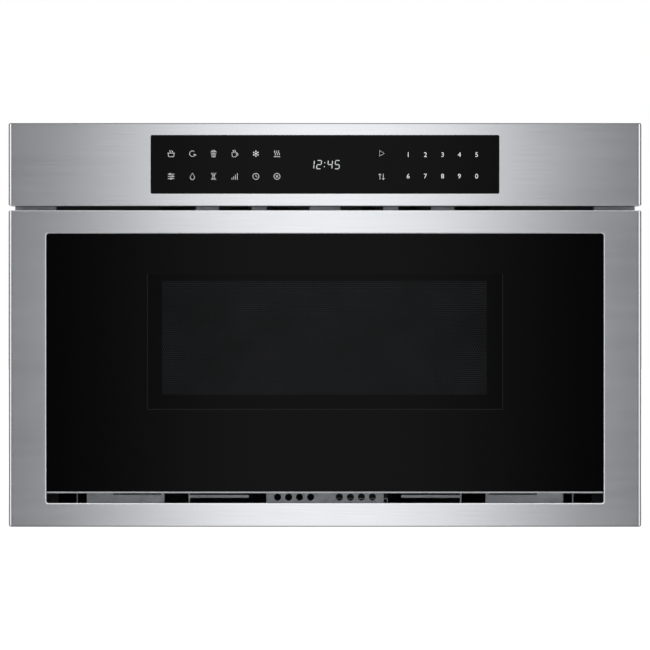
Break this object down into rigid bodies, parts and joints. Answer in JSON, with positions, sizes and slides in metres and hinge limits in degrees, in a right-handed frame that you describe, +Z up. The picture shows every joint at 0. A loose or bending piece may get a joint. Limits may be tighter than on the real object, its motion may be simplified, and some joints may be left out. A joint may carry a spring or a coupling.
{
  "type": "microwave drawer",
  "caption": "Built-in microwave oven drawer: wide steel face, black glass front on powered ball slides, touch control panel above, steel chassis behind.",
  "frame": {"origin": "middle of the base's front edge: on the shelf the base stands on, in the plane of the cabinet's face that the mounting flanges seat on", "axes": "+X to the right of a person who faces the drawer, +Y into the cabinet, +Z up; the drawer opens along -Y"},
  "size_m": [0.7588, 0.5937, 0.4842],
  "materials": {
    "stainless": "brushed along X, satin",
    "black_glass": "tempered, enamelled black on the back, polished",
    "clear_sheet": "clear polymer window sheet, gloss",
    "black_steel": "black powder coat, satin",
    "grey_enamel": "grey baked enamel, semi-gloss",
    "galvanised": "galvanised sheet, dull spangle",
    "zinc_steel": "bright zinc plate",
    "black_plastic": "moulded black, fine grain",
    "grey_plastic": "moulded grey heat-resistant polymer, fine grain",
    "white_nylon": "moulded natural polymer",
    "glass_ceramic": "off-white glass ceramic, smooth",
    "mica": "pressed mica sheet",
    "circuit_board": "green laminate with parts",
    "aluminium_bare": "bare pressed aluminium",
    "core_steel": "lacquered laminations and windings",
    "lamp": "lamp and pressed holder",
    "display": "black display module"
  },
  "bodies": {
    "chassis": {"base_plate": "galvanised", "chassis_screws": "zinc_steel", "control_board": "circuit_board", "control_glass": "black_glass", "control_panel_frame": "stainless", "cord_bushing": "black_plastic", "display_module": "display", "drive_gearmotor": "black_plastic", "fan_duct": "grey_plastic", "fan_frame": "black_plastic", "filter_board": "circuit_board", "front_plate": "black_steel", "humidity_sensor": "zinc_steel", "hv_capacitor": "aluminium_bare", "hv_transformer": "core_steel", "interlock_switch_left": "black_plastic", "interlock_switch_right": "black_plastic", "magnetron": "aluminium_bare", "motor_bracket": "galvanised", "mounting_flange_left": "galvanised", "mounting_flange_right": "galvanised", "outer_case": "galvanised", "oven_cavity": "grey_enamel", "oven_lamp": "lamp", "panel_bracket": "galvanised", "panel_housing": "black_plastic", "rear_plate": "galvanised", "slide_bracket_left": "galvanised", "slide_bracket_right": "galvanised", "slide_outer_left": "zinc_steel", "slide_outer_right": "zinc_steel", "stirrer_cover": "mica", "stirrer_motor": "zinc_steel", "vent_grille": "galvanised", "waveguide": "galvanised"},
    "drawer": {"drawer_front_frame": "stainless", "drawer_glass": "black_glass", "door_panel": "black_steel", "screen_pan": "black_steel", "inner_window": "clear_sheet", "choke_comb": "zinc_steel", "choke_cover": "black_plastic", "drawer_tub": "grey_plastic", "ceramic_tray": "glass_ceramic", "drawer_arm_left": "zinc_steel", "drawer_arm_right": "zinc_steel", "rear_cross_bar": "zinc_steel", "drive_rack": "white_nylon", "latch_hooks": "white_nylon", "slide_inner_left": "zinc_steel", "slide_inner_right": "zinc_steel"},
    "left_middle_slide": {"slide_middle_left": "zinc_steel"},
    "right_middle_slide": {"slide_middle_right": "zinc_steel"},
    "outer_cages": {"ball_cages_outer": "zinc_steel"},
    "inner_cages": {"ball_cages_inner": "zinc_steel"},
    "pinion": {"drive_pinion": "white_nylon"},
    "fan": {"fan_rotor": "black_plastic"},
    "stirrer": {"stirrer": "aluminium_bare"},
    "left_plunger": {"switch_plunger_left": "white_nylon"},
    "right_plunger": {"switch_plunger_right": "white_nylon"}
  },
  "joints": [
    {"name": "drawer_slide", "type": "slide", "parent": "chassis", "child": "drawer", "axis": [0, -1, 0], "range_m": [0, 0.38]},
    {"name": "left_slide_middle", "type": "slide", "parent": "chassis", "child": "left_middle_slide", "axis": [0, -1, 0], "range_m": [0, 0.19]},
    {"name": "right_slide_middle", "type": "slide", "parent": "chassis", "child": "right_middle_slide", "axis": [0, -1, 0], "range_m": [0, 0.19]},
    {"name": "outer_cages_roll", "type": "slide", "parent": "chassis", "child": "outer_cages", "axis": [0, -1, 0], "range_m": [0, 0.095]},
    {"name": "inner_cages_roll", "type": "slide", "parent": "chassis", "child": "inner_cages", "axis": [0, -1, 0], "range_m": [0, 0.285]},
    {"name": "pinion_spin", "type": "hinge", "parent": "chassis", "child": "pinion", "pos_m": [0.0205, 0.034, 0.059], "axis": [0, 0, 1], "range_deg": [0, 1210]},
    {"name": "fan_spin", "type": "hinge", "parent": "chassis", "child": "fan", "pos_m": [0.128, 0.352, 0.362], "axis": [1, 0, 0], "continuous": true},
    {"name": "stirrer_spin", "type": "hinge", "parent": "chassis", "child": "stirrer", "pos_m": [0, 0.215, 0.3], "axis": [0, 0, 1], "continuous": true},
    {"name": "left_plunger_press", "type": "slide", "parent": "chassis", "child": "left_plunger", "axis": [0, 1, 0], "range_m": [0, 0.002], "stiffness_N_per_m": 100, "springref_m": -0.001},
    {"name": "right_plunger_press", "type": "slide", "parent": "chassis", "child": "right_plunger", "axis": [0, 1, 0], "range_m": [0, 0.002], "stiffness_N_per_m": 100, "springref_m": -0.001}
  ],
  "couplings": [
    {"joint": "left_slide_middle", "follows": "drawer_slide", "ratio": 0.5},
    {"joint": "right_slide_middle", "follows": "drawer_slide", "ratio": 0.5},
    {"joint": "outer_cages_roll", "follows": "drawer_slide", "ratio": 0.25},
    {"joint": "inner_cages_roll", "follows": "drawer_slide", "ratio": 0.75},
    {"joint": "pinion_spin", "follows": "drawer_slide", "rad_per_m": 55.556}
  ]
}
